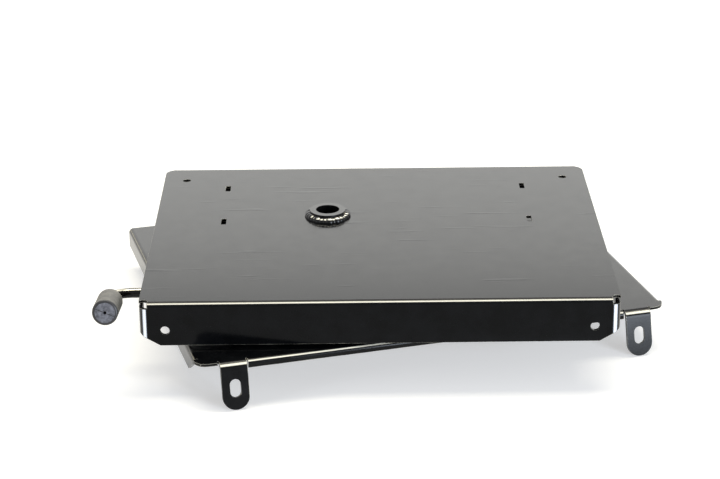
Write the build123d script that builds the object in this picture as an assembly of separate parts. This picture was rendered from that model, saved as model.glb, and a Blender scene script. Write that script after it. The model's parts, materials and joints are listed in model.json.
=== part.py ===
from build123d import *
import os
from math import cos, radians, sin, tan

# Sizes are in millimetres and degrees. The origin is on the swivel axis, at the base plate's underside.
# X runs to the seat's right and Y to its rear, as the base plate stands on the seat box.

# Sheet and stack
SHEET = 3.0               # both plates
FOLD_R = 5.0              # outer radius of the folds
PLATE_GAP = 45.0          # between the two plates
PLATE_FRONT = 227.0       # swivel axis to the plates' front faces
PLATE_REAR = 143.0        # swivel axis to the plates' rear edges
PLATE_LEFT = 183.0        # swivel axis to the turntable plate's left edge, on the lever's side
SWIVEL_REST = -15.35      # how far the turntable stands turned on the base

# Bolt pattern shared by the seat and the seat box
BOLT_INSET = 25.0         # holes from the turntable's side edges
BOLT_HOLE_D = 9.0
BOLT_REAR_INSET = 33.5    # rear holes from the rear edge

# Turntable plate
TOP_WIDTH = 470.0
TOP_CORNER_R = 12.0       # rear corners
FLANGE_CLEARANCE = 3.0    # front flange above the base plate
FLANGE_HOLE_DROP = 29.0   # flange holes below the top face
RETURN_R = 8.0            # outer radius of the flange's end bends
RETURN_LENGTH = 25.0      # flange face to the end of a return
CORNER_DROP = 6.0         # end bends start this far below the top face
RELIEF_D = 9.0            # round relief at each front corner
CHAMFER_RUN = 20.0        # flange's lower corners
CHAMFER_RISE = 12.0
REAR_FLANGE_H = 28.0      # rear flange over all
REAR_FLANGE_INSET = 3.0   # rear flange inside the rounded corners
REAR_FLANGE_OUT = 4.0     # rear flange's face behind the corners
TIE_SLOT_W = 5.4
TIE_SLOT_L = 16.0
TIE_SLOT_SPACING_X = 325.0
TIE_SLOT_SPACING_Y = 98.0
TIE_SLOT_INSET = 60.0     # rear pair of slots from the rear edge

# Base plate
BASE_MARGIN = 9.25        # base plate beyond the turntable plate at each side
BASE_FLANGE_H = 21.0      # side flanges over all
BASE_FLANGE_STOP = 16.5   # side flanges end this far behind the front face
BASE_SLOPE_RUN = 25.0     # side flanges' sloping front ends
BASE_SLOPE_RISE = 16.0
BASE_CORNER_R = 13.0      # front corners
EAR_SETBACK = 3.0         # front corners behind the front face
LIP_H = 8.0               # front lip over all
TAB_W = 27.0
TAB_OFFSET = 2.0          # tabs to the right of the bolt holes
TAB_FOLD_R = 8.0
TAB_DROP = 45.5           # tab's tip below the base plate's top
TAB_FLARE = 13.0          # tab's lean out of upright
TAB_SLOT_W = 11.0
TAB_SLOT_L = 18.0
TAB_SLOT_DROP = 24.5      # slot's middle below the base plate's top
RELIEF_W = 1.2            # slits beside the tabs and before the side flanges
RELIEF_DEPTH = 1.0        # slits run this far past the fold

# Support ring and its slide
RING_D = 250.0
RING_T = 4.0
SLIDE_T = 3.5             # slide ring's running face
SLIDE_LEG_T = 2.5
SLIDE_LEG_L = 8.0
SLIDE_GAP = 0.2           # slide ring to the turntable plate

# Pivot
TUBE_D = 38.0
TUBE_BORE = 25.0
TUBE_PROUD = 7.0          # tube above the turntable plate
TUBE_TAIL = 1.5           # tube below the lock nut
TUBE_CHAMFER = 1.0
WELD_LEG = 5.3            # weld bead's width on the plate
WELD_RISE = 5.0
WELD_CROWN = 0.62         # bead's fullness, as a share of its leg and rise
BUSH_WALL = 4.0
BUSH_FLANGE_W = 5.0       # bush flange beyond its sleeve
BUSH_FLANGE_T = 3.0
COLLAR_WALL = 6.0
COLLAR_H = 32.0
THRUST_T = 3.0
THRUST_W = 13.0           # thrust washer's width in plan
TAB_WASHER_T = 1.2
NUT_T = 9.0
NUT_WALL = 8.0
NUT_SLOTS = 4
NUT_SLOT_W = 5.0
NUT_SLOT_DEPTH = 3.0
KEYWAY_W = 5.0
KEYWAY_DEPTH = 2.0
RUN_FIT = 0.05            # radial gap of running fits
SEAT_FIT = 0.03           # radial gap of fixed fits
LOOSE_FIT = 0.2           # radial gap of washers
FACE_GAP = 0.1            # axial play between faces that slide

# Lever
ROD_D = 10.0
ROD_DROP = 15.0           # rod axis below the turntable plate's underside
ROD_SETBACK = 67.4        # rod axis behind the flange's face
LEVER_OUT = 31.2          # rod's corner beyond the turntable's side edge
LEVER_BEND_R = 20.0
LEVER_RISE = 13.0         # lever's upward slope
LEVER_TOE = 1.5           # lever's turn towards the seat
GRIP_D = 25.0
GRIP_LENGTH = 60.0
GRIP_START = 41.0         # rod's corner to the grip
GRIP_END_WALL = 8.0
GRIP_CHAMFER = 1.2
VENT_D = 3.0
ROD_END_PLAY = 0.5        # rod's end to the bottom of the grip

# Lever's bearings and latch
BRACKET_T = 3.0
BRACKET_W = 36.0
BRACKET_FOOT = 20.0
BRACKET_NOSE_R = 12.0
BRACKET_INSET = 30.0      # outer bracket's web from the turntable's side edge
FINGER_T = 8.0
FINGER_W = 12.0
FINGER_REACH = 40.0       # rod axis to the tooth's middle
FINGER_SLOPE = 20.0       # arm's fall towards the tooth
FINGER_GAP = 0.3          # tooth above the base plate where it rides
HUB_D = 18.0
HUB_L = 52.0              # fills the space between the brackets
PIN_D = 4.0
PIN_WALL = 0.8
LOCK_PLAY = 0.6           # lock slot beyond the tooth on each side
LOCK_SWING = 6.0          # room for the tooth as it swings into the slot
ROD_TAIL = 6.0            # rod beyond the inner bracket

# Latch spring
SPRING_T = 1.0
SPRING_W = 10.0
SPRING_BEND_R = 4.0
SPRING_PAD_START = 14.0   # where the blade lies on the arm, from the rod axis
SPRING_PAD_END = 30.0
SPRING_RUN = 25.0         # blade's free length in plan
SPRING_GAP = 0.3
BLOCK_L = 26.0
BLOCK_W = 16.0
BLOCK_H = 8.0
SCREW_D = 5.0
SCREW_HEAD_D = 9.0
SCREW_HEAD_H = 3.5
SCREW_L = 6.0
SCREW_PITCH = 13.0

# Heights
BASE_TOP = SHEET
TOP_UNDER = BASE_TOP + PLATE_GAP
TOP_FACE = TOP_UNDER + SHEET
FLANGE_BOTTOM = BASE_TOP + FLANGE_CLEARANCE
ROD_Z = TOP_UNDER - ROD_DROP
TOOTH_Z = BASE_TOP + FINGER_GAP

# Places in plan
TOP_LEFT = -PLATE_LEFT
TOP_RIGHT = TOP_LEFT + TOP_WIDTH
PLATE_MID_X = TOP_LEFT + TOP_WIDTH / 2
BASE_LEFT = TOP_LEFT - BASE_MARGIN
BASE_RIGHT = TOP_RIGHT + BASE_MARGIN
BOLT_SPACING = TOP_WIDTH - 2 * BOLT_INSET
BOLT_XS = (PLATE_MID_X - BOLT_SPACING / 2, PLATE_MID_X + BOLT_SPACING / 2)
TAB_XS = tuple(x + TAB_OFFSET for x in BOLT_XS)
BOLT_REAR_Y = PLATE_REAR - BOLT_REAR_INSET
FOLD_Y = -(PLATE_FRONT - FOLD_R)
REAR_FOLD_START = PLATE_REAR - 2 * FOLD_R
ROD_Y = -(PLATE_FRONT - ROD_SETBACK)

# Stack under the base plate
THRUST_TOP = -FACE_GAP
TAB_WASHER_TOP = THRUST_TOP - THRUST_T
NUT_TOP = TAB_WASHER_TOP - TAB_WASHER_T
NUT_BOTTOM = NUT_TOP - NUT_T
TUBE_BOTTOM = NUT_BOTTOM - TUBE_TAIL
TUBE_R = TUBE_D / 2
BUSH_BORE_R = TUBE_R + RUN_FIT
BUSH_R = BUSH_BORE_R + BUSH_WALL
HOUSING_R = BUSH_R + SEAT_FIT
LOOSE_R = TUBE_R + LOOSE_FIT
KEY_R = TUBE_R - KEYWAY_DEPTH

# Chain of pieces along the rod, from the outer bracket inwards
OUTER_WEB_X = TOP_LEFT + BRACKET_INSET
HUB_X = OUTER_WEB_X + BRACKET_T + FACE_GAP
FINGER_MID_X = HUB_X + HUB_L / 2
INNER_WEB_X = HUB_X + HUB_L + FACE_GAP
ROD_END_X = INNER_WEB_X + BRACKET_T + ROD_TAIL
TOOTH_Y = ROD_Y + FINGER_REACH


def sheet_section(points, radius, thickness, side):
    # Closed outline of a sheet folded along a line that follows one of its faces.
    line = FilletPolyline(*points, radius=radius)
    return make_face(line.offset_2d(thickness, side=side, closed=True))


def across(section, start, length):
    # A section drawn in Y and Z, run along X.
    return extrude(Plane.YZ.offset(start) * section, length, dir=(1, 0, 0))


def along(section, start, length):
    # A section drawn in X and Z, run towards the rear.
    return extrude(Plane.XZ.offset(-start) * section, length, dir=(0, 1, 0))


def flat(outline, bottom, height):
    return extrude(Pos(0, 0, bottom) * outline, height, dir=(0, 0, 1))


def block(x0, x1, y0, y1):
    return Pos((x0 + x1) / 2, (y0 + y1) / 2) * Rectangle(x1 - x0, y1 - y0)


def ring(outer_r, inner_r, bottom, height):
    return flat(Circle(outer_r) - Circle(inner_r), bottom, height)


def bolt_holes(bottom):
    holes = Sketch() + [Pos(x, BOLT_REAR_Y) * Circle(BOLT_HOLE_D / 2) for x in BOLT_XS]
    return flat(holes, bottom, SHEET)


def on_rod(x):
    # Plane across the rod at x, with its first axis to the rear and its second upwards.
    return Plane(origin=(x, ROD_Y, ROD_Z), x_dir=(0, 1, 0), z_dir=(1, 0, 0))


def flange_corner_cut(edge_x, inward):
    # Sloping cut at one lower corner of the front flange, round its bend and return.
    slope = CHAMFER_RISE / CHAMFER_RUN
    foot = edge_x + inward * (CHAMFER_RUN + SHEET)
    outer = edge_x - inward * SHEET
    triangle = Polygon(
        (foot, FLANGE_BOTTOM - slope * SHEET),
        (outer, FLANGE_BOTTOM - slope * SHEET),
        (outer, FLANGE_BOTTOM + slope * (CHAMFER_RUN + SHEET)),
        align=None,
    )
    return along(triangle, -PLATE_FRONT - SHEET, RETURN_LENGTH + 2 * SHEET)


def rear_strip():
    # Strip of the flat plate that the rear fold takes the place of.
    inset = TOP_CORNER_R + REAR_FLANGE_INSET
    strip = block(TOP_LEFT + inset, TOP_RIGHT - inset, REAR_FOLD_START, PLATE_REAR)
    return flat(strip, TOP_UNDER, SHEET)


def rear_flange():
    inset = TOP_CORNER_R + REAR_FLANGE_INSET
    fold = sheet_section(
        [
            (REAR_FOLD_START, TOP_FACE),
            (PLATE_REAR + REAR_FLANGE_OUT, TOP_FACE),
            (PLATE_REAR + REAR_FLANGE_OUT, TOP_FACE - REAR_FLANGE_H),
        ],
        FOLD_R,
        SHEET,
        Side.RIGHT,
    )
    return across(fold, TOP_LEFT + inset, TOP_WIDTH - 2 * inset)


def top_plate():
    # Flat top and front flange in one fold, stopped short of the corners.
    folded = sheet_section(
        [(PLATE_REAR, TOP_FACE), (-PLATE_FRONT, TOP_FACE), (-PLATE_FRONT, FLANGE_BOTTOM)],
        FOLD_R,
        SHEET,
        Side.LEFT,
    )
    middle = across(folded, TOP_LEFT + RETURN_R, TOP_WIDTH - 2 * RETURN_R)
    outline = block(TOP_LEFT, TOP_RIGHT, FOLD_Y, PLATE_REAR)
    rear = outline.vertices().group_by(Axis.Y)[-1]
    plate = middle + flat(fillet(rear, TOP_CORNER_R), TOP_UNDER, SHEET) - rear_strip()
    plate += rear_flange()
    return_y = -PLATE_FRONT + RETURN_LENGTH
    wrap = sheet_section(
        [
            (TOP_LEFT, return_y),
            (TOP_LEFT, -PLATE_FRONT),
            (TOP_RIGHT, -PLATE_FRONT),
            (TOP_RIGHT, return_y),
        ],
        RETURN_R,
        SHEET,
        Side.LEFT,
    )
    plate += flat(wrap, FLANGE_BOTTOM, TOP_FACE - CORNER_DROP - FLANGE_BOTTOM)
    for edge_x, inward in ((TOP_LEFT, 1), (TOP_RIGHT, -1)):
        plate -= flange_corner_cut(edge_x, inward)
        relief = Pos(edge_x + inward * RETURN_R / 2, FOLD_Y) * Circle(RELIEF_D / 2)
        plate -= flat(relief, TOP_FACE - CORNER_DROP, CORNER_DROP)
    plate -= bolt_holes(TOP_UNDER)
    flange_holes = Sketch() + [
        Pos(x, TOP_FACE - FLANGE_HOLE_DROP) * Circle(BOLT_HOLE_D / 2) for x in BOLT_XS
    ]
    plate -= along(flange_holes, -PLATE_FRONT, SHEET)
    slot_mid = Pos(PLATE_MID_X, PLATE_REAR - TIE_SLOT_INSET - TIE_SLOT_SPACING_Y / 2)
    slots = slot_mid * GridLocations(TIE_SLOT_SPACING_X, TIE_SLOT_SPACING_Y, 2, 2)
    slots = Sketch() + [place * Rectangle(TIE_SLOT_W, TIE_SLOT_L) for place in slots]
    plate -= flat(slots, TOP_UNDER, SHEET)
    return plate - flat(Circle(TUBE_R + SEAT_FIT), TOP_UNDER, SHEET)


def base_tab(x):
    # Tab folded down at the front, leaning outwards, with a full round tip and an upright slot.
    lean = radians(TAB_FLARE)
    fold = radians(90 - TAB_FLARE)
    corner_y = FOLD_Y - TAB_FOLD_R * tan(fold / 2)
    length = TAB_DROP / cos(lean)
    tip = (corner_y - length * sin(lean), BASE_TOP - TAB_DROP)
    section = sheet_section(
        [(FOLD_Y + FOLD_R, BASE_TOP), (corner_y, BASE_TOP), tip], TAB_FOLD_R, SHEET, Side.LEFT
    )
    tab = across(section, x - TAB_W / 2, TAB_W)
    face = Plane(
        origin=(x, corner_y, BASE_TOP), x_dir=(1, 0, 0), z_dir=(0, -cos(lean), sin(lean))
    )
    round_y = TAB_W / 2 - length
    corners = Pos(0, round_y) * Rectangle(TAB_W, TAB_W, align=(Align.CENTER, Align.MAX))
    corners -= Pos(0, round_y) * Circle(TAB_W / 2)
    slot = Pos(0, -TAB_SLOT_DROP / cos(lean)) * SlotOverall(TAB_SLOT_L, TAB_SLOT_W, rotation=90)
    return tab - extrude(face * (corners + slot), 2 * SHEET, both=True)


def lock_slots():
    # Openings that take the latch tooth with the seat facing forwards and facing back.
    length = FINGER_W + LOCK_SWING + 2 * LOCK_PLAY
    place = Pos(FINGER_MID_X, TOOTH_Y - LOCK_SWING / 2)
    slot = place * Rectangle(FINGER_T + 2 * LOCK_PLAY, length)
    return flat(slot + Rot(0, 0, 180) * slot, 0, SHEET)


def base_plate():
    bottom = BASE_TOP - BASE_FLANGE_H
    stop_y = -PLATE_FRONT + BASE_FLANGE_STOP
    flange_y = stop_y + RELIEF_W
    channel = sheet_section(
        [(BASE_LEFT, bottom), (BASE_LEFT, BASE_TOP), (BASE_RIGHT, BASE_TOP), (BASE_RIGHT, bottom)],
        FOLD_R,
        SHEET,
        Side.RIGHT,
    )
    plate = along(channel, flange_y, PLATE_REAR - flange_y)
    slope = Polygon(
        (flange_y, bottom),
        (flange_y + BASE_SLOPE_RUN, bottom),
        (flange_y, bottom + BASE_SLOPE_RISE),
        align=None,
    )
    plate -= across(slope, BASE_LEFT, BASE_RIGHT - BASE_LEFT)
    front = block(BASE_LEFT + FOLD_R, BASE_RIGHT - FOLD_R, FOLD_Y, flange_y)
    plate += flat(front, 0, SHEET)
    lip = sheet_section(
        [
            (FOLD_Y + FOLD_R, BASE_TOP),
            (-PLATE_FRONT, BASE_TOP),
            (-PLATE_FRONT, BASE_TOP - LIP_H),
        ],
        FOLD_R,
        SHEET,
        Side.LEFT,
    )
    lip_inset = TAB_W / 2 + RELIEF_W
    plate += across(lip, TAB_XS[0] + lip_inset, BOLT_SPACING - 2 * lip_inset)
    slit_end = FOLD_Y + RELIEF_DEPTH
    for x, edge_x, inward in ((TAB_XS[0], BASE_LEFT, 1), (TAB_XS[1], BASE_RIGHT, -1)):
        plate += base_tab(x)
        ear_x = x - inward * lip_inset
        ear_y = -PLATE_FRONT + EAR_SETBACK
        ear = block(min(edge_x, ear_x), max(edge_x, ear_x), ear_y, stop_y)
        outer = ear.vertices().sort_by(Axis.Y)[:2].sort_by(Axis.X)
        outer = outer[0] if inward > 0 else outer[-1]
        plate += flat(fillet(outer, BASE_CORNER_R), 0, SHEET)
        for side in (-1, 1):
            slit_x = x + side * (TAB_W + RELIEF_W) / 2
            slit = block(slit_x - RELIEF_W / 2, slit_x + RELIEF_W / 2, -PLATE_FRONT, slit_end)
            plate -= flat(slit + Pos(slit_x, slit_end) * Circle(RELIEF_W / 2), 0, SHEET)
    plate -= bolt_holes(0)
    plate -= lock_slots()
    return plate - flat(Circle(HOUSING_R), 0, SHEET)


def support_ring():
    height = PLATE_GAP - SLIDE_GAP - SLIDE_T
    return ring(RING_D / 2, RING_D / 2 - RING_T, BASE_TOP, height)


def slide_ring():
    # Channel section that caps the support ring's rim.
    top = TOP_UNDER - SLIDE_GAP
    rim = top - SLIDE_T
    outer_r = RING_D / 2 + SEAT_FIT
    inner_r = RING_D / 2 - RING_T - SEAT_FIT
    cap = ring(outer_r + SLIDE_LEG_T, inner_r - SLIDE_LEG_T, rim - SLIDE_LEG_L, SLIDE_LEG_L + SLIDE_T)
    return cap - ring(outer_r, inner_r, rim - SLIDE_LEG_L, SLIDE_LEG_L)


def pivot_collar():
    return ring(HOUSING_R + COLLAR_WALL, HOUSING_R, BASE_TOP, COLLAR_H)


def pivot_bush():
    # Long sleeve through collar and base plate, with a flange on the collar's rim.
    seat = BASE_TOP + COLLAR_H
    sleeve = ring(BUSH_R, BUSH_BORE_R, 0, seat)
    return sleeve + ring(BUSH_R + BUSH_FLANGE_W, BUSH_BORE_R, seat, BUSH_FLANGE_T)


def pivot_tube():
    top = TOP_FACE + TUBE_PROUD
    tube = ring(TUBE_R, TUBE_BORE / 2, TUBE_BOTTOM, top - TUBE_BOTTOM)
    tail = tube.edges().group_by(Axis.Z)[0].sort_by(SortBy.LENGTH)[-1]
    tube = chamfer(tail, TUBE_CHAMFER)
    keyway = block(KEY_R, TUBE_R + KEYWAY_DEPTH, -KEYWAY_W / 2, KEYWAY_W / 2)
    return tube - flat(keyway, TUBE_BOTTOM, TAB_WASHER_TOP - TUBE_BOTTOM)


def pivot_weld():
    # Fillet weld round the tube, with a slightly full face.
    r = TUBE_R + SEAT_FIT
    profile = Polygon(
        (r, TOP_FACE),
        (r + WELD_LEG, TOP_FACE),
        (r + WELD_LEG * WELD_CROWN, TOP_FACE + WELD_RISE * WELD_CROWN),
        (r, TOP_FACE + WELD_RISE),
        align=None,
    )
    return revolve(Plane.XZ * profile, Axis.Z)


def thrust_washer():
    return ring(LOOSE_R + THRUST_W, LOOSE_R, TAB_WASHER_TOP, THRUST_T)


def tab_washer():
    # Inner tongue in the tube's keyway, and one outer tab bent into a slot of the nut.
    low = TAB_WASHER_TOP - TAB_WASHER_T
    outer = TUBE_R + NUT_WALL
    tongue_w = KEYWAY_W - 2 * FACE_GAP
    washer = ring(outer, LOOSE_R, low, TAB_WASHER_T)
    tongue = block(KEY_R + FACE_GAP, LOOSE_R + TAB_WASHER_T, -tongue_w / 2, tongue_w / 2)
    washer += flat(tongue, low, TAB_WASHER_T)
    tab_w = NUT_SLOT_W - 2 * FACE_GAP
    tab_r = outer - NUT_SLOT_DEPTH + FACE_GAP
    tab = block(tab_r, tab_r + TAB_WASHER_T, -tab_w / 2, tab_w / 2)
    return washer + flat(Rot(0, 0, 360 / NUT_SLOTS) * tab, low - NUT_T / 2, NUT_T / 2)


def lock_nut():
    nut = ring(TUBE_R + NUT_WALL, TUBE_R + SEAT_FIT, NUT_BOTTOM, NUT_T)
    outer = TUBE_R + NUT_WALL
    slot = block(outer - NUT_SLOT_DEPTH, outer + NUT_SLOT_DEPTH, -NUT_SLOT_W / 2, NUT_SLOT_W / 2)
    slots = Sketch() + [Rot(0, 0, 360 * n / NUT_SLOTS) * slot for n in range(NUT_SLOTS)]
    return nut - flat(slots, NUT_BOTTOM, NUT_T)


def lever_bracket(web_x, foot_dir):
    # Angle bracket under the turntable: a foot against the plate and a web that bears the rod.
    web_face = web_x if foot_dir > 0 else web_x + BRACKET_T
    low = ROD_Z - BRACKET_NOSE_R
    angle = sheet_section(
        [(web_face, low), (web_face, TOP_UNDER), (web_face + foot_dir * BRACKET_FOOT, TOP_UNDER)],
        FOLD_R,
        BRACKET_T,
        Side.RIGHT if foot_dir > 0 else Side.LEFT,
    )
    half = BRACKET_W / 2
    bracket = along(angle, ROD_Y - half, BRACKET_W)
    shoulder = Pos(0, (ROD_DROP - FOLD_R) / 2) * Rectangle(BRACKET_W, ROD_DROP - FOLD_R)
    shoulder = Pos(0, FOLD_R) * shoulder
    web = make_hull((shoulder + Circle(BRACKET_NOSE_R)).edges())
    reach = 2 * BRACKET_FOOT
    bracket &= extrude(on_rod(web_face - reach) * web, 2 * reach)
    return bracket - extrude(on_rod(web_x) * Circle(ROD_D / 2 + RUN_FIT), BRACKET_T)


def arm_point(distance, lift):
    # Point on the latch arm: along it from the rod axis, and square to it upwards.
    fall = radians(FINGER_SLOPE)
    y = ROD_Y + distance * cos(fall) + lift * sin(fall)
    z = ROD_Z - distance * sin(fall) + lift * cos(fall)
    return (y, z)


def spring_pad(distance):
    # Point on the blade's upper face where it lies along the arm.
    return arm_point(distance, FINGER_W / 2 + SPRING_GAP + SPRING_T)


def spring_bend_y():
    return spring_pad(SPRING_PAD_END)[0] + SPRING_RUN


def latch_spring():
    # Blade screwed up under its block, bent down to lie on the latch arm.
    seat = TOP_UNDER - BLOCK_H
    bend_y = spring_bend_y()
    blade = sheet_section(
        [
            (bend_y + BLOCK_L, seat),
            (bend_y, seat),
            spring_pad(SPRING_PAD_END),
            spring_pad(SPRING_PAD_START),
        ],
        SPRING_BEND_R,
        SPRING_T,
        Side.LEFT,
    )
    blade = across(blade, FINGER_MID_X - SPRING_W / 2, SPRING_W)
    return blade - spring_holes(seat - SPRING_T, SPRING_T)


def spring_screw_places():
    mid_y = spring_bend_y() + BLOCK_L / 2
    return [(FINGER_MID_X, mid_y - SCREW_PITCH / 2), (FINGER_MID_X, mid_y + SCREW_PITCH / 2)]


def spring_holes(bottom, height):
    holes = Sketch() + [
        Pos(x, y) * Circle(SCREW_D / 2 + SEAT_FIT) for x, y in spring_screw_places()
    ]
    return flat(holes, bottom, height)


def spring_block():
    front = spring_bend_y()
    half = BLOCK_W / 2
    body = block(FINGER_MID_X - half, FINGER_MID_X + half, front, front + BLOCK_L)
    seat = TOP_UNDER - BLOCK_H
    return flat(body, seat, BLOCK_H) - spring_holes(seat, SCREW_L - SPRING_T + FACE_GAP)


def spring_screws():
    seat = TOP_UNDER - BLOCK_H - SPRING_T
    screws = []
    for x, y in spring_screw_places():
        head = flat(Pos(x, y) * RegularPolygon(SCREW_HEAD_D / 2, 6), seat - SCREW_HEAD_H, SCREW_HEAD_H)
        screws.append(head + flat(Pos(x, y) * Circle(SCREW_D / 2), seat, SCREW_L))
    return Compound(screws)


def lever_dir():
    rise = radians(LEVER_RISE)
    toe = radians(LEVER_TOE)
    return Vector(sin(toe) * cos(rise), -cos(toe) * cos(rise), sin(rise))


def lever_corner():
    return Vector(TOP_LEFT - LEVER_OUT, ROD_Y, ROD_Z)


def pin_hole(radius, length):
    # Round hole square to the latch arm, through hub and rod.
    fall = radians(FINGER_SLOPE)
    across_arm = Plane(origin=(FINGER_MID_X, ROD_Y, ROD_Z), z_dir=(0, sin(fall), cos(fall)))
    return extrude(across_arm * Circle(radius), length / 2, both=True)


def lever_rod():
    corner = lever_corner()
    end = corner + lever_dir() * (GRIP_START + GRIP_LENGTH - GRIP_END_WALL - ROD_END_PLAY)
    path = FilletPolyline((ROD_END_X, ROD_Y, ROD_Z), corner, end, radius=LEVER_BEND_R)
    rod = sweep(Plane(origin=path @ 0, z_dir=path % 0) * Circle(ROD_D / 2), path)
    return rod - pin_hole(PIN_D / 2 + SEAT_FIT, HUB_D)


def handle_grip():
    # Moulded grip with a blind bore, chamfered rims and a vent in its end face.
    seat = Plane(origin=lever_corner() + lever_dir() * GRIP_START, z_dir=lever_dir())
    body = extrude(Circle(GRIP_D / 2), GRIP_LENGTH)
    body = chamfer(body.edges().filter_by(GeomType.CIRCLE), GRIP_CHAMFER)
    body -= extrude(Circle(ROD_D / 2 + SEAT_FIT), GRIP_LENGTH - GRIP_END_WALL)
    body -= extrude(Circle(VENT_D / 2), GRIP_LENGTH)
    return seat * body


def latch_finger():
    # Long hub, sloping arm and a tooth that rides on the base plate.
    fall = radians(FINGER_SLOPE)
    arm_l = FINGER_REACH / cos(fall)
    arm = Rot(0, 0, -FINGER_SLOPE) * Rectangle(arm_l, FINGER_W, align=(Align.MIN, Align.CENTER))
    knee = -FINGER_REACH * tan(fall)
    tip = TOOTH_Z - ROD_Z
    tooth_top = knee + FINGER_W / 2 * cos(fall)
    tooth = Pos(FINGER_REACH, (tooth_top + tip) / 2) * Rectangle(FINGER_W, tooth_top - tip)
    finger = extrude(on_rod(FINGER_MID_X - FINGER_T / 2) * (arm + tooth), FINGER_T)
    finger += extrude(on_rod(HUB_X) * Circle(HUB_D / 2), HUB_L)
    finger -= extrude(on_rod(HUB_X) * Circle(ROD_D / 2 + SEAT_FIT), HUB_L)
    return finger - pin_hole(PIN_D / 2 + SEAT_FIT, HUB_D)


def latch_pin():
    return pin_hole(PIN_D / 2, HUB_D) - pin_hole(PIN_D / 2 - PIN_WALL, HUB_D)


base_pieces = {
    "base_plate": base_plate(),
    "support_ring": support_ring(),
    "slide_ring": slide_ring(),
    "pivot_collar": pivot_collar(),
    "pivot_bush": pivot_bush(),
}

# Drawn square to the seat, then turned with the turntable.
turned_pieces = {
    "top_plate": top_plate(),
    "pivot_tube": pivot_tube(),
    "pivot_weld": pivot_weld(),
    "thrust_washer": thrust_washer(),
    "tab_washer": tab_washer(),
    "lock_nut": lock_nut(),
    "lever_bracket_outer": lever_bracket(OUTER_WEB_X, -1),
    "lever_bracket_inner": lever_bracket(INNER_WEB_X, 1),
    "spring_block": spring_block(),
    "latch_spring": latch_spring(),
    "spring_screws": spring_screws(),
    "lever_rod": lever_rod(),
    "handle_grip": handle_grip(),
    "latch_finger": latch_finger(),
    "latch_pin": latch_pin(),
}

os.makedirs("parts", exist_ok=True)
for name, piece in base_pieces.items():
    export_step(piece, f"parts/{name}.step")
for name, piece in turned_pieces.items():
    export_step(Rot(0, 0, SWIVEL_REST) * piece, f"parts/{name}.step")
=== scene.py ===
import json
from math import atan2, cos, pi, radians, sin

import bmesh
import bpy
from mathutils import Matrix, Vector


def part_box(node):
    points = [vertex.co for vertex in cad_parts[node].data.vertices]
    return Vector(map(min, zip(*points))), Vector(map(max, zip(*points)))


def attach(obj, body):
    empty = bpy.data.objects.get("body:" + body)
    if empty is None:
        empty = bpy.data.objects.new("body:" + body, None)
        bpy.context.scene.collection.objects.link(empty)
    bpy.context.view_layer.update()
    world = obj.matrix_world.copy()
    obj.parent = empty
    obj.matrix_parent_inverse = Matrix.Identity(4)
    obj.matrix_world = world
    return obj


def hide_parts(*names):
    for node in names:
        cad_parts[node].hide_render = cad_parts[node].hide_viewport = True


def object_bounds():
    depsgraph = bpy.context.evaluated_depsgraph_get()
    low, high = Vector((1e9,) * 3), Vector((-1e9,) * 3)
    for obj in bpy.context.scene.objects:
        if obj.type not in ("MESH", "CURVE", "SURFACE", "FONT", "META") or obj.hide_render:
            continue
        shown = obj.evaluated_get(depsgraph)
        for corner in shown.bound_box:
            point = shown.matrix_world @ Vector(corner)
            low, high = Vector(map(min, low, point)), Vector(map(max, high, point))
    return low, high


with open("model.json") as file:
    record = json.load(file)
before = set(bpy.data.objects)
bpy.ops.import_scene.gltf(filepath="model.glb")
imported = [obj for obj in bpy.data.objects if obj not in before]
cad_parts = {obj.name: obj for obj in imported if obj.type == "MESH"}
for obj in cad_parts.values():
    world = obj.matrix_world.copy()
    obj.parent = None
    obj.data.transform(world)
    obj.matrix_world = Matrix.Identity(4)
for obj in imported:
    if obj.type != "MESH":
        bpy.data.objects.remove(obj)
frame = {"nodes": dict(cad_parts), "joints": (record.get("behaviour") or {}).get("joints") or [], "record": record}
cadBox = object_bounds()
scene = bpy.context.scene
scene.view_settings.view_transform = "Standard"
nodes = frame["nodes"]
leverJoint = next(joint for joint in frame["joints"] if joint["name"] == "lever_press")
turnAngle = atan2(leverJoint["axis"][1], leverJoint["axis"][0])  # turntable on the base
turn = Matrix.Rotation(turnAngle, 4, "Z")
print("frame:", len(nodes), "nodes")


# camera, solved from the photograph's perspective
cameraPlan = {
    "place": (-0.53039, -2.01394, 0.87966),
    "aim": (0.03039, -0.0189, 0.02677),
    "rollDegrees": -0.48,
    "focalPixels": 2092.88,
    "imageWidth": 720,
    "sensor": 36.0,
}


def makeCamera(plan):
    data = bpy.data.cameras.new("photoCamera")
    data.sensor_fit = "HORIZONTAL"
    data.sensor_width = plan["sensor"]
    data.lens = plan["focalPixels"] / plan["imageWidth"] * plan["sensor"]
    data.clip_end = 50
    obj = bpy.data.objects.new("photoCamera", data)
    scene.collection.objects.link(obj)
    place = Vector(plan["place"])
    back = (place - Vector(plan["aim"])).normalized()
    level = Vector((-back.y, back.x, 0)).normalized()
    upright = back.cross(level)
    roll = radians(plan["rollDegrees"])
    right = cos(roll) * level + sin(roll) * upright
    up = cos(roll) * upright - sin(roll) * level
    turned = Matrix((right, up, back)).transposed().to_4x4()
    obj.matrix_world = Matrix.Translation(place) @ turned
    scene.camera = obj
    return obj


makeCamera(cameraPlan)
print("camera set")


# node trees
def addNode(tree, kind, values=None, **settings):
    made = tree.nodes.new(kind)
    for key, value in settings.items():
        setattr(made, key, value)
    for key, value in (values or {}).items():
        made.inputs[key].default_value = value
    return made


def newFinish(name):
    material = bpy.data.materials.new(name)
    material.use_nodes = True
    return material, material.node_tree, material.node_tree.nodes["Principled BSDF"]


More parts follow.
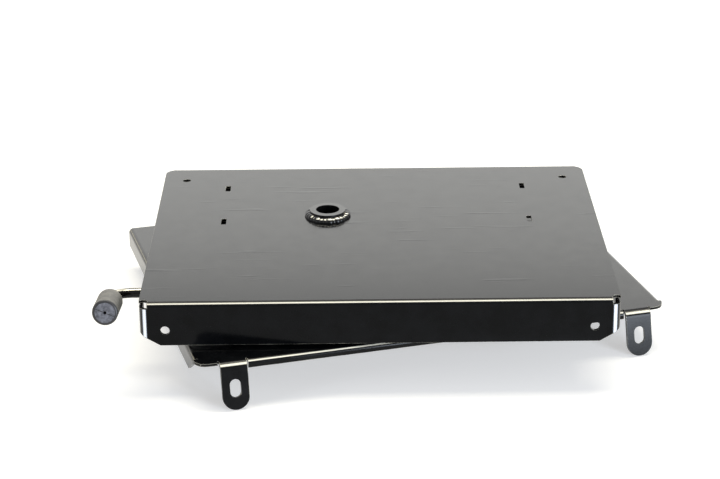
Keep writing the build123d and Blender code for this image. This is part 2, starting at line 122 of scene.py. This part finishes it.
def noiseOn(tree, coordinates, scale, detail=3.0, stretch=(1, 1, 1), turned=0.0):
    mapping = addNode(tree, "ShaderNodeMapping", {"Scale": stretch, "Rotation": (0, 0, turned)},
                      vector_type="TEXTURE")
    tree.links.new(coordinates.outputs["Object"], mapping.inputs["Vector"])
    noise = addNode(tree, "ShaderNodeTexNoise", {"Scale": scale, "Detail": detail, "Roughness": 0.55})
    tree.links.new(mapping.outputs["Vector"], noise.inputs["Vector"])
    return noise.outputs["Fac"]


def rampBetween(tree, factor, low, high, start=0.35, end=0.65):
    ramp = addNode(tree, "ShaderNodeValToRGB")
    ramp.color_ramp.elements[0].position = start
    ramp.color_ramp.elements[1].position = end
    ramp.color_ramp.elements[0].color = (*low, 1)
    ramp.color_ramp.elements[1].color = (*high, 1)
    tree.links.new(factor, ramp.inputs["Fac"])
    return ramp.outputs["Color"]


def fade(tree, factor, ends, low, high):
    ranged = addNode(tree, "ShaderNodeMapRange",
                     {"From Min": ends[0], "From Max": ends[1], "To Min": low, "To Max": high})
    tree.links.new(factor, ranged.inputs["Value"])
    return ranged.outputs["Result"]


def stackBump(tree, shader, heights):
    # each height is (factor, strength, distance)
    normal = None
    for factor, strength, distance in heights:
        bump = addNode(tree, "ShaderNodeBump", {"Strength": strength, "Distance": distance})
        tree.links.new(factor, bump.inputs["Height"])
        if normal:
            tree.links.new(normal, bump.inputs["Normal"])
        normal = bump.outputs["Normal"]
    tree.links.new(normal, shader.inputs["Normal"])


def seenDirectly(tree):
    # 1 for camera, glossy and transmission rays
    paths = addNode(tree, "ShaderNodeLightPath")
    seen = addNode(tree, "ShaderNodeMath", operation="MAXIMUM")
    seenToo = addNode(tree, "ShaderNodeMath", operation="MAXIMUM")
    tree.links.new(paths.outputs["Is Camera Ray"], seen.inputs[0])
    tree.links.new(paths.outputs["Is Glossy Ray"], seen.inputs[1])
    tree.links.new(seen.outputs["Value"], seenToo.inputs[0])
    tree.links.new(paths.outputs["Is Transmission Ray"], seenToo.inputs[1])
    return seenToo.outputs["Value"]


# powder coat and paint, all in metres: grain sizes are about 1 / scale
grainPlan = {
    "cloudScale": 55,
    "peelScale": 620,
    "creaseScale": 11,
    "creaseStretch": (1.0, 0.077, 1.0),
    "creaseEdge": (0.66, 0.72),
    "creaseDepth": 0.0005,
    "noiseSpan": (0.3, 0.7),
    "bumpDepth": 0.0004,
    "coatIor": 1.52,
}
paintPlan = {
    # the crest and bend amounts here are painted highlights on the plate folds, the bead crowns and the rod's top
    "platePaint": {"dark": (0.0014, 0.0016, 0.002), "light": (0.003, 0.0033, 0.004), "rough": (0.13, 0.19),
                   "tint": 0.15, "peel": 0.02, "crease": 0.10, "crestHighlight": 0.6, "bends": 0.65,
                   "crestRise": (0.60, 0.68, 0.79, 0.86)},
    "basePaint": {"dark": (0.0014, 0.0016, 0.002), "light": (0.003, 0.0033, 0.004), "rough": (0.13, 0.19),
                  "tint": 0.22, "peel": 0.02, "crease": 0.0, "crestHighlight": 0.42, "sideShare": 0.3,
                  "sideTurn": (0.15, 0.40), "crestRise": (0.60, 0.68, 0.79, 0.86)},
    "beadPaint": {"dark": (0.002, 0.002, 0.0022), "light": (0.005, 0.005, 0.0055), "rough": (0.08, 0.14),
                  "tint": 0.4, "peel": 0.03, "crease": 0.0, "crestHighlight": 0.26, "sideShare": 0.0,
                  "sideTurn": (0.44, 0.58), "crestRise": (0.62, 0.72, 0.84, 0.91)},
    "pivotPaint": {"dark": (0.003, 0.003, 0.0032), "light": (0.007, 0.007, 0.0075), "rough": (0.10, 0.18),
                   "tint": 0.6, "peel": 0.05, "crease": 0.0},
    "rodPaint": {"dark": (0.003, 0.003, 0.003), "light": (0.007, 0.007, 0.0072), "rough": (0.12, 0.2),
                 "tint": 0.3, "peel": 0.05, "crease": 0.0, "crestHighlight": 0.35,
                 "crestRise": (0.80, 0.87, 0.96, 0.99)},
    # the plates' rounded edges get this cream paint as a painted highlight along them
    "edgeHighlightPaint": {"dark": (0.03, 0.03, 0.028), "light": (0.42, 0.40, 0.33), "rough": (0.22, 0.34),
                  "tint": 1.0, "peel": 0.05, "crease": 0.0},
}


# painted highlights on the folds and on the flange's end bends: a light colour and some metallic laid on by which
# way the surface faces, standing in for reflections
foldHighlightPlan = {
    "crestHighlightColour": (0.92, 0.88, 0.74),
    "bendHighlightColour": (0.80, 0.86, 0.96),
    "bendTurn": (0.80, 0.90, 0.988, 0.998),  # forward share of the normal on the flange's end bends
    "bendLevel": (0.10, 0.20),
    "bendStart": 0.215,  # forward of the swivel axis
    "bendTop": 0.0447,
    "cornerTurn": (0.01, 0.05),  # square of the normal's sideways share
}


def hump(tree, factor, stops):
    ramp = addNode(tree, "ShaderNodeValToRGB")
    points = ramp.color_ramp.elements
    points.new(0.3)
    points.new(0.6)
    for point, place, shade in zip(points, stops, (0, 1, 1, 0)):
        point.position = place
        point.color = (shade, shade, shade, 1)
    tree.links.new(factor, ramp.inputs["Fac"])
    return ramp.outputs["Color"]


def combine(tree, operation, first, second):
    made = addNode(tree, "ShaderNodeMath", operation=operation)
    tree.links.new(first, made.inputs[0])
    if isinstance(second, float):
        made.inputs[1].default_value = second
    else:
        tree.links.new(second, made.inputs[1])
    return made.outputs["Value"]


def share(tree, vector, direction):
    dot = addNode(tree, "ShaderNodeVectorMath", {1: direction}, operation="DOT_PRODUCT")
    tree.links.new(vector, dot.inputs[0])
    return dot.outputs["Value"]


def paintFoldHighlights(tree, shader, coordinates, plan):
    # painted highlights: upward crests of the folds, and on the top plate the forward-facing end bends, get a
    # light colour and metallic by their facing; on the base and bead only where they face forward
    facing, place = coordinates.outputs["Normal"], coordinates.outputs["Object"]
    upward = share(tree, facing, Vector((0, 0, 1)))
    crestHighlightMask = hump(tree, upward, plan["crestRise"])
    if "sideShare" in plan:
        ahead = share(tree, facing, Vector((0, -1, 0)))
        crestHighlightMask = combine(tree, "MULTIPLY", crestHighlightMask, fade(tree, ahead, plan["sideTurn"], plan["sideShare"], 1.0))
    if "bends" in plan:
        across = share(tree, facing, turn @ Vector((1, 0, 0)))
        sideways = combine(tree, "MULTIPLY", across, across)
        crestHighlightMask = combine(tree, "MULTIPLY", crestHighlightMask, fade(tree, sideways, foldHighlightPlan["cornerTurn"], 1.0, 0.0))
    zones = [(crestHighlightMask, plan["crestHighlight"], foldHighlightPlan["crestHighlightColour"])]
    if "bends" in plan:
        forward = turn @ Vector((0, -1, 0))
        bend = hump(tree, share(tree, facing, forward), foldHighlightPlan["bendTurn"])
        bend = combine(tree, "MULTIPLY", bend, fade(tree, upward, foldHighlightPlan["bendLevel"], 1.0, 0.0))
        atFront = combine(tree, "GREATER_THAN", share(tree, place, forward), foldHighlightPlan["bendStart"])
        below = combine(tree, "LESS_THAN", share(tree, place, Vector((0, 0, 1))), foldHighlightPlan["bendTop"])
        bend = combine(tree, "MULTIPLY", bend, combine(tree, "MULTIPLY", atFront, below))
        zones.append((bend, plan["bends"], foldHighlightPlan["bendHighlightColour"]))
    metal = None
    for zone, amount, colour in zones:
        mix = addNode(tree, "ShaderNodeMix", {"B": (*colour, 1)}, data_type="RGBA")
        under = shader.inputs["Base Color"].links[0].from_socket
        tree.links.new(zone, mix.inputs["Factor"])
        tree.links.new(under, mix.inputs["A"])
        tree.links.new(mix.outputs["Result"], shader.inputs["Base Color"])
        part = combine(tree, "MULTIPLY", zone, amount)
        metal = combine(tree, "ADD", metal, part) if metal else part
    tree.links.new(metal, shader.inputs["Metallic"])


def makePaint(name, plan):
    material, tree, shader = newFinish(name)
    coordinates = addNode(tree, "ShaderNodeTexCoord")
    cloud = noiseOn(tree, coordinates, grainPlan["cloudScale"], 4)
    peel = noiseOn(tree, coordinates, grainPlan["peelScale"], 2)
    crease = noiseOn(tree, coordinates, grainPlan["creaseScale"], 2, grainPlan["creaseStretch"], turnAngle)
    tree.links.new(rampBetween(tree, cloud, plan["dark"], plan["light"]), shader.inputs["Base Color"])
    tree.links.new(fade(tree, cloud, grainPlan["noiseSpan"], *plan["rough"]), shader.inputs["Roughness"])
    shader.inputs["IOR"].default_value = grainPlan["coatIor"]
    shader.inputs["Specular Tint"].default_value = (plan["tint"], plan["tint"], plan["tint"], 1)
    heights = [(peel, plan["peel"], grainPlan["bumpDepth"])]
    if plan["crease"]:
        thin = rampBetween(tree, crease, (0, 0, 0), (1, 1, 1), *grainPlan["creaseEdge"])
        heights.append((thin, plan["crease"], grainPlan["creaseDepth"]))
    stackBump(tree, shader, heights)
    if "crestHighlight" in plan:
        paintFoldHighlights(tree, shader, coordinates, plan)
    return material


# moulded and bare finishes
barePlan = {
    "gripRubber": {"dark": (0.065, 0.062, 0.055), "light": (0.125, 0.118, 0.102), "rough": (0.4, 0.55),
                   "metal": 0.0, "scale": 260, "stretch": (1, 1, 1), "bump": 0.16},
    # the end face is a lighter, bluish copy of the side rubber: painted reflection of the cool front light
    "gripEndReflection": {"dark": (0.045, 0.046, 0.055), "light": (0.17, 0.173, 0.198), "rough": (0.35, 0.5),
                "metal": 0.0, "scale": 330, "stretch": (1, 0.4, 1), "bump": 0.2, "cloud": 280},
    # the rim and the mould line bars take a near-black copy of the rubber: painted shade
    "gripRimShade": {"dark": (0.008, 0.008, 0.009), "light": (0.016, 0.016, 0.018), "rough": (0.3, 0.45),
                "metal": 0.0, "scale": 260, "stretch": (1, 1, 1), "bump": 0.1},
    "slidePolymer": {"dark": (0.018, 0.018, 0.018), "light": (0.035, 0.035, 0.036), "rough": (0.42, 0.55),
                     "metal": 0.0, "scale": 300, "stretch": (1, 1, 1), "bump": 0.08},
    "zincSteel": {"dark": (0.47, 0.48, 0.5), "light": (0.68, 0.69, 0.7), "rough": (0.26, 0.42),
                  "metal": 1.0, "scale": 120, "stretch": (1, 1, 0.14), "bump": 0.06},
    "springSteel": {"dark": (0.19, 0.19, 0.2), "light": (0.34, 0.34, 0.35), "rough": (0.3, 0.45),
                    "metal": 1.0, "scale": 150, "stretch": (0.2, 1, 1), "bump": 0.05},
}


def makeBare(name, plan):
    material, tree, shader = newFinish(name)
    coordinates = addNode(tree, "ShaderNodeTexCoord")
    grain = noiseOn(tree, coordinates, plan["scale"], 4, plan["stretch"])
    cloud = noiseOn(tree, coordinates, plan.get("cloud", 70), 3)
    tree.links.new(rampBetween(tree, cloud, plan["dark"], plan["light"]), shader.inputs["Base Color"])
    tree.links.new(fade(tree, grain, grainPlan["noiseSpan"], *plan["rough"]), shader.inputs["Roughness"])
    shader.inputs["Metallic"].default_value = plan["metal"]
    stackBump(tree, shader, [(grain, plan["bump"], grainPlan["bumpDepth"])])
    return material


finishes = {name: makePaint(name, plan) for name, plan in paintPlan.items()}
finishes.update({name: makeBare(name, plan) for name, plan in barePlan.items()})
finishOfSlot = {
    "plate_paint": "platePaint",
    "pivot_paint": "pivotPaint",
    "rod_paint": "rodPaint",
    "grip_rubber": "gripRubber",
    "slide_polymer": "slidePolymer",
    "zinc_steel": "zincSteel",
    "spring_steel": "springSteel",
}
finishOfNode = {"base_plate": "basePaint"}
slotOf = {part["node"]: part["material_slot"] for part in frame["record"]["subparts"]}
print("finishes:", len(finishes))


# rounded edges on the CAD pieces, as powder coat leaves them
edgePlan = {
    "plateWidth": 0.00045,
    "smallWidth": 0.00025,
    "plates": ("top_plate", "base_plate"),
    "sharpDegrees": 38,
    "flatDegrees": 0.4,
    "segments": 2,
}


def dressNode(name, plan):
    obj = nodes[name]
    finish = finishes[finishOfNode.get(name, finishOfSlot[slotOf[name]])]
    obj.data.materials.clear()
    obj.data.materials.append(finish)
    isPlate = name in plan["plates"]
    if isPlate:
        obj.data.materials.append(finishes["edgeHighlightPaint"])
    weld = obj.modifiers.new("joinTriangles", "WELD")
    weld.merge_threshold = 0.000002
    flat = obj.modifiers.new("flatFaces", "DECIMATE")
    flat.decimate_type = "DISSOLVE"
    flat.angle_limit = radians(plan["flatDegrees"])
    soft = obj.modifiers.new("softEdges", "BEVEL")
    soft.limit_method = "ANGLE"
    soft.angle_limit = radians(plan["sharpDegrees"])
    soft.width = plan["plateWidth"] if isPlate else plan["smallWidth"]
    soft.segments = plan["segments"]
    soft.offset_type = "ABSOLUTE"
    soft.use_clamp_overlap = False
    # on the plates the rounded edges take the cream edge paint, a painted highlight
    soft.material = 1 if isPlate else -1
    level = obj.modifiers.new("flatShading", "WEIGHTED_NORMAL")
    level.mode = "FACE_AREA"
    level.weight = 100
    obj.data.polygons.foreach_set("use_smooth", [True] * len(obj.data.polygons))


for nodeName in nodes:
    dressNode(nodeName, edgePlan)
print("edges rounded")


# weld beads: overlapping scales along a path, one tree for every bead
beadPlan = {"pitch": 0.0042, "lumpLength": 0.0056, "tilt": 26.0, "unevenness": 0.13, "seed": 7}


def makeBeadTree(material):
    tree = bpy.data.node_groups.new("weldBead", "GeometryNodeTree")
    face = tree.interface
    face.new_socket("Geometry", in_out="INPUT", socket_type="NodeSocketGeometry")
    for label in ("Pitch", "Length", "Width", "Height", "Unevenness", "Tilt"):
        face.new_socket(label, in_out="INPUT", socket_type="NodeSocketFloat")
    face.new_socket("Seed", in_out="INPUT", socket_type="NodeSocketInt")
    face.new_socket("Geometry", in_out="OUTPUT", socket_type="NodeSocketGeometry")
    given = addNode(tree, "NodeGroupInput")
    result = addNode(tree, "NodeGroupOutput")
    link = tree.links.new
    path = addNode(tree, "GeometryNodeMeshToCurve")
    steps = addNode(tree, "GeometryNodeResampleCurve", mode="LENGTH")
    link(given.outputs["Geometry"], path.inputs["Mesh"])
    link(path.outputs["Curve"], steps.inputs["Curve"])
    link(given.outputs["Pitch"], steps.inputs["Length"])
    lump = addNode(tree, "GeometryNodeMeshIcoSphere", {"Radius": 1.0, "Subdivisions": 3})
    size = addNode(tree, "ShaderNodeCombineXYZ")
    link(given.outputs["Length"], size.inputs["X"])
    link(given.outputs["Width"], size.inputs["Y"])
    link(given.outputs["Height"], size.inputs["Z"])
    shaped = addNode(tree, "GeometryNodeTransform")
    link(lump.outputs["Mesh"], shaped.inputs["Geometry"])
    link(size.outputs["Vector"], shaped.inputs["Scale"])
    leaned = addNode(tree, "GeometryNodeTransform")
    lean = addNode(tree, "ShaderNodeCombineXYZ")
    link(given.outputs["Tilt"], lean.inputs["Y"])
    link(shaped.outputs["Geometry"], leaned.inputs["Geometry"])
    link(lean.outputs["Vector"], leaned.inputs["Rotation"])
    tangent = addNode(tree, "GeometryNodeInputTangent")
    heading = addNode(tree, "FunctionNodeAlignRotationToVector", axis="X", pivot_axis="Z")
    link(tangent.outputs["Tangent"], heading.inputs["Vector"])
    low = addNode(tree, "ShaderNodeMath", {0: 1.0}, operation="SUBTRACT")
    high = addNode(tree, "ShaderNodeMath", {0: 1.0}, operation="ADD")
    link(given.outputs["Unevenness"], low.inputs[1])
    link(given.outputs["Unevenness"], high.inputs[1])
    vary = addNode(tree, "FunctionNodeRandomValue", data_type="FLOAT")
    link(low.outputs["Value"], vary.inputs[2])
    link(high.outputs["Value"], vary.inputs[3])
    link(given.outputs["Seed"], vary.inputs["Seed"])
    scales = addNode(tree, "GeometryNodeInstanceOnPoints")
    link(steps.outputs["Curve"], scales.inputs["Points"])
    link(leaned.outputs["Geometry"], scales.inputs["Instance"])
    link(heading.outputs["Rotation"], scales.inputs["Rotation"])
    link(vary.outputs[1], scales.inputs["Scale"])
    real = addNode(tree, "GeometryNodeRealizeInstances")
    smooth = addNode(tree, "GeometryNodeSetShadeSmooth")
    painted = addNode(tree, "GeometryNodeSetMaterial")
    painted.inputs["Material"].default_value = material
    link(scales.outputs["Instances"], real.inputs["Geometry"])
    link(real.outputs["Geometry"], smooth.inputs["Geometry"])
    link(smooth.outputs["Geometry"], painted.inputs["Geometry"])
    link(painted.outputs["Geometry"], result.inputs["Geometry"])
    return tree


beadTree = makeBeadTree(finishes["beadPaint"])


def arcPath(radius, height, start=0.0, sweep=2 * pi, steps=96):
    count = max(8, int(steps * sweep / (2 * pi)))
    closed = sweep > 2 * pi - 0.001
    spots = [start + sweep * n / count for n in range(count if closed else count + 1)]
    return [Vector((radius * cos(a), radius * sin(a), height)) for a in spots], closed


def makeBeads(name, paths, pitch, length, width, height, seed):
    mesh = bpy.data.meshes.new(name)
    points, edges = [], []
    for run, closed in paths:
        first = len(points)
        points += run
        edges += [(first + n, first + n + 1) for n in range(len(run) - 1)]
        if closed:
            edges.append((first + len(run) - 1, first))
    mesh.from_pydata(points, edges, [])
    obj = bpy.data.objects.new(name, mesh)
    scene.collection.objects.link(obj)
    maker = obj.modifiers.new("weldBead", "NODES")
    maker.node_group = beadTree
    wanted = {"Pitch": pitch, "Length": length, "Width": width, "Height": height,
              "Unevenness": beadPlan["unevenness"], "Tilt": radians(beadPlan["tilt"]), "Seed": seed}
    for item in beadTree.interface.items_tree:
        if item.in_out == "INPUT" and item.name in wanted:
            maker[item.identifier] = wanted[item.name]
    depsgraph = bpy.context.evaluated_depsgraph_get()
    plain = bpy.data.meshes.new_from_object(obj.evaluated_get(depsgraph), depsgraph=depsgraph)
    obj.modifiers.clear()
    obj.data = plain
    plain.name = name
    return obj


tubeLow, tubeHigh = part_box("pivot_tube")
weldLow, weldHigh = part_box("pivot_weld")
tubeRadius = tubeHigh.x
pivotBead = makeBeads("pivotBead", [arcPath(tubeRadius, weldLow.z)], beadPlan["pitch"],
                      beadPlan["lumpLength"], weldHigh.x - tubeRadius, weldHigh.z - weldLow.z,
                      beadPlan["seed"])
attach(pivotBead, "turntable")
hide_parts("pivot_weld")

# stitch welds that hold the ring and the collar on the base plate
ringLow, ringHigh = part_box("support_ring")
collarLow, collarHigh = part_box("pivot_collar")
stitchPlan = {"count": 8, "sweepDegrees": 14, "size": 0.0032, "pitch": 0.0028, "lift": 0.0011}
stitches = [
    arcPath(ringHigh.x, ringLow.z + stitchPlan["lift"], radians(360 * n / stitchPlan["count"]),
            radians(stitchPlan["sweepDegrees"]), 360)
    for n in range(stitchPlan["count"])
]
stitches.append(arcPath(collarHigh.x, collarLow.z + stitchPlan["lift"]))
baseBeads = makeBeads("baseBeads", stitches, stitchPlan["pitch"],
                      stitchPlan["size"], stitchPlan["size"], stitchPlan["size"], beadPlan["seed"] + 1)
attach(baseBeads, "base")


# beads along the feet of the lever's brackets
footPlan = {"outerX": -0.170, "innerX": -0.0778, "frontY": -0.1736, "backY": -0.1456, "height": 0.0473}
footRuns = []
for footX in (footPlan["outerX"], footPlan["innerX"]):
    ends = [Vector((footX, footPlan[key], footPlan["height"])) for key in ("frontY", "backY")]
    footRuns.append(([turn @ end for end in ends], False))
footBeads = makeBeads("footBeads", footRuns, stitchPlan["pitch"], stitchPlan["size"], stitchPlan["size"],
                      stitchPlan["size"] * 0.85, beadPlan["seed"] + 2)
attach(footBeads, "turntable")
print("weld beads made")


# rubber grip: a turned body with shallow rings, a vent hole and a mould line on its end; its end face and rim take
# lit and shaded copies of the rubber
gripPlan = {
    "corner": (-0.2142, -0.1596, 0.033),
    "riseDegrees": 13.0,
    "toeDegrees": 1.5,
    "start": 0.041,
    "length": 0.060,
    "radius": 0.0125,
    "boreRadius": 0.00503,
    "endWall": 0.008,
    "rim": 0.0018,
    "darkRim": 0.0027,
    "endDish": 0.00012,
    "ringPitch": 0.0042,
    "ringDepth": 0.00035,
    "ventRadius": 0.0016,
    "lineWidth": 0.0006,
    "lineHeight": 0.0003,
    "lineTurn": -24.0,
    "sides": 96,
}


def gripProfile(plan):
    # radius and distance along the grip, from the bore's mouth out and round to the vent
    radius, length, rim = plan["radius"], plan["length"], plan["rim"]
    profile = [(plan["boreRadius"], length - plan["endWall"]), (plan["boreRadius"], 0.0), (radius - rim, 0.0),
               (radius - rim * 0.3, rim * 0.3), (radius, rim)]
    rings = int((length - 2.6 * rim) / plan["ringPitch"])
    for n in range(rings):
        along = rim * 1.3 + n * plan["ringPitch"]
        for part, depth in ((0.0, 0.0), (0.35, 1.0), (0.65, 1.0)):
            profile.append((radius - depth * plan["ringDepth"], along + part * plan["ringPitch"]))
    profile += [(radius, length - rim * 1.2), (radius - rim * 0.3, length - rim * 0.3),
                (radius - rim, length), (radius - plan["darkRim"], length),
                (plan["ventRadius"], length - plan["endDish"]),
                (plan["ventRadius"], length - plan["endWall"])]
    return profile


def gripZone(plan, first, second):
    # 0 is the side, 1 the end face with its vent (a bluish copy of the rubber: painted reflection), 2 the rim
    # round it (a near-black copy: painted shade)
    if max(first[0], second[0]) <= plan["radius"] - plan["darkRim"] and second[1] > plan["endWall"]:
        return 1
    return 2 if min(first[1], second[1]) > plan["length"] - plan["rim"] * 1.21 else 0


def makeGrip(plan):
    made = bmesh.new()
    profile = gripProfile(plan)
    columns = []
    for n in range(plan["sides"]):
        angle = 2 * pi * n / plan["sides"]
        columns.append([made.verts.new((r * cos(angle), r * sin(angle), z)) for r, z in profile])
    for n, column in enumerate(columns):
        beside = columns[(n + 1) % plan["sides"]]
        for k in range(len(column) - 1):
            face = made.faces.new((column[k], beside[k], beside[k + 1], column[k + 1]))
            face.material_index = gripZone(plan, profile[k], profile[k + 1])
        made.faces.new((column[-1], beside[-1], beside[0], column[0])).material_index = 1
    lineStart, lineEnd = plan["ventRadius"] * 1.5, plan["radius"] - plan["darkRim"]
    for side in (-1, 1):
        size = Matrix.Diagonal((lineEnd - lineStart, plan["lineWidth"], plan["lineHeight"], 1))
        place = Matrix.Translation((side * (lineStart + lineEnd) / 2, 0, plan["length"]))
        lean = Matrix.Rotation(radians(plan["lineTurn"]), 4, "Z")
        bar = bmesh.ops.create_cube(made, size=1.0, matrix=lean @ place @ size)
        for face in {face for vert in bar["verts"] for face in vert.link_faces}:
            face.material_index = 2
    bmesh.ops.recalc_face_normals(made, faces=made.faces)
    rise, toe = radians(plan["riseDegrees"]), radians(plan["toeDegrees"])
    along = Vector((sin(toe) * cos(rise), -cos(toe) * cos(rise), sin(rise)))
    across = Vector((0, 0, 1)).cross(along).normalized()
    frameTurn = Matrix((across, along.cross(across), along)).transposed().to_4x4()
    place = Matrix.Translation(Vector(plan["corner"]) + along * plan["start"])
    made.transform(turn @ place @ frameTurn)
    mesh = bpy.data.meshes.new("gripBody")
    made.to_mesh(mesh)
    made.free()
    mesh.polygons.foreach_set("use_smooth", [True] * len(mesh.polygons))
    mesh.set_sharp_from_angle(angle=radians(50))
    for finishName in ("gripRubber", "gripEndReflection", "gripRimShade"):
        mesh.materials.append(finishes[finishName])
    obj = bpy.data.objects.new("gripBody", mesh)
    scene.collection.objects.link(obj)
    return obj


gripBody = makeGrip(gripPlan)
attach(gripBody, "lever")
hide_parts("handle_grip")
print("grip made")


# pale floor that shows white to the camera and keeps a soft shadow
floorPlan = {"size": 12.0, "gap": 0.0002, "colour": (0.66, 0.66, 0.66), "glow": 0.48}


def makeFloor(plan):
    mesh = bpy.data.meshes.new("studioFloor")
    half = plan["size"] / 2
    height = cadBox[0].z - plan["gap"]
    corners = [(-half, -half, height), (half, -half, height), (half, half, height), (-half, half, height)]
    mesh.from_pydata(corners, [], [(0, 1, 2, 3)])
    material = bpy.data.materials.new("studioFloor")
    material.use_nodes = True
    tree = material.node_tree
    tree.nodes.clear()
    out = addNode(tree, "ShaderNodeOutputMaterial")
    diffuse = addNode(tree, "ShaderNodeBsdfDiffuse", {"Color": (*plan["colour"], 1)})
    glow = addNode(tree, "ShaderNodeEmission", {"Color": (1, 1, 1, 1)})
    level = addNode(tree, "ShaderNodeMath", {1: plan["glow"]}, operation="MULTIPLY")
    both = addNode(tree, "ShaderNodeAddShader")
    tree.links.new(seenDirectly(tree), level.inputs[0])
    tree.links.new(level.outputs["Value"], glow.inputs["Strength"])
    tree.links.new(diffuse.outputs["BSDF"], both.inputs[0])
    tree.links.new(glow.outputs["Emission"], both.inputs[1])
    tree.links.new(both.outputs["Shader"], out.inputs["Surface"])
    mesh.materials.append(material)
    obj = bpy.data.objects.new("studioFloor", mesh)
    scene.collection.objects.link(obj)


makeFloor(floorPlan)


# soft studio light: bearings are degrees round from the camera, to its right
lightPlan = {
    "rearPanel": {"bearing": 180, "height": 17, "distance": 3.2, "size": (4.2, 1.0), "level": 1.3,
                  "colour": (1.0, 1.0, 0.95)},
    "topStrip": {"bearing": 180, "height": 80, "distance": 2.2, "size": (2.6, 0.8), "level": 9.0,
                 "colour": (1.0, 0.95, 0.80)},
    "leftBox": {"bearing": -52, "height": 16, "distance": 2.4, "size": (0.5, 1.0), "level": 3.0,
                "colour": (0.92, 0.95, 1.0)},
    "rightBox": {"bearing": 38, "height": 10, "distance": 2.4, "size": (0.8, 1.0), "level": 20.0,
                 "colour": (0.80, 0.88, 1.0)},
}


def makeLight(name, plan):
    data = bpy.data.lights.new(name, "AREA")
    data.shape = "RECTANGLE"
    data.size, data.size_y = plan["size"]
    data.energy = plan["level"] * pi * plan["size"][0] * plan["size"][1]
    data.color = plan["colour"]
    obj = bpy.data.objects.new(name, data)
    scene.collection.objects.link(obj)
    towards = Vector(cameraPlan["place"]) - Vector(cameraPlan["aim"])
    bearing = atan2(towards.y, towards.x) + radians(plan["bearing"])
    height = radians(plan["height"])
    way = Vector((cos(bearing) * cos(height), sin(bearing) * cos(height), sin(height)))
    obj.location = Vector(cameraPlan["aim"]) + way * plan["distance"]
    obj.rotation_euler = way.to_track_quat("Z", "Y").to_euler()


for lightName, plan in lightPlan.items():
    makeLight(lightName, plan)


worldPlan = {"ambient": 0.35, "seen": 1.0}


def makeWorld(plan):
    world = bpy.data.worlds.new("studio")
    scene.world = world
    world.use_nodes = True
    tree = world.node_tree
    background = tree.nodes["Background"]
    background.inputs["Color"].default_value = (1, 1, 1, 1)
    level = addNode(tree, "ShaderNodeMapRange", {"To Min": plan["ambient"], "To Max": plan["seen"]})
    tree.links.new(seenDirectly(tree), level.inputs["Value"])
    tree.links.new(level.outputs["Result"], background.inputs["Strength"])


makeWorld(worldPlan)
print("stage and light set")
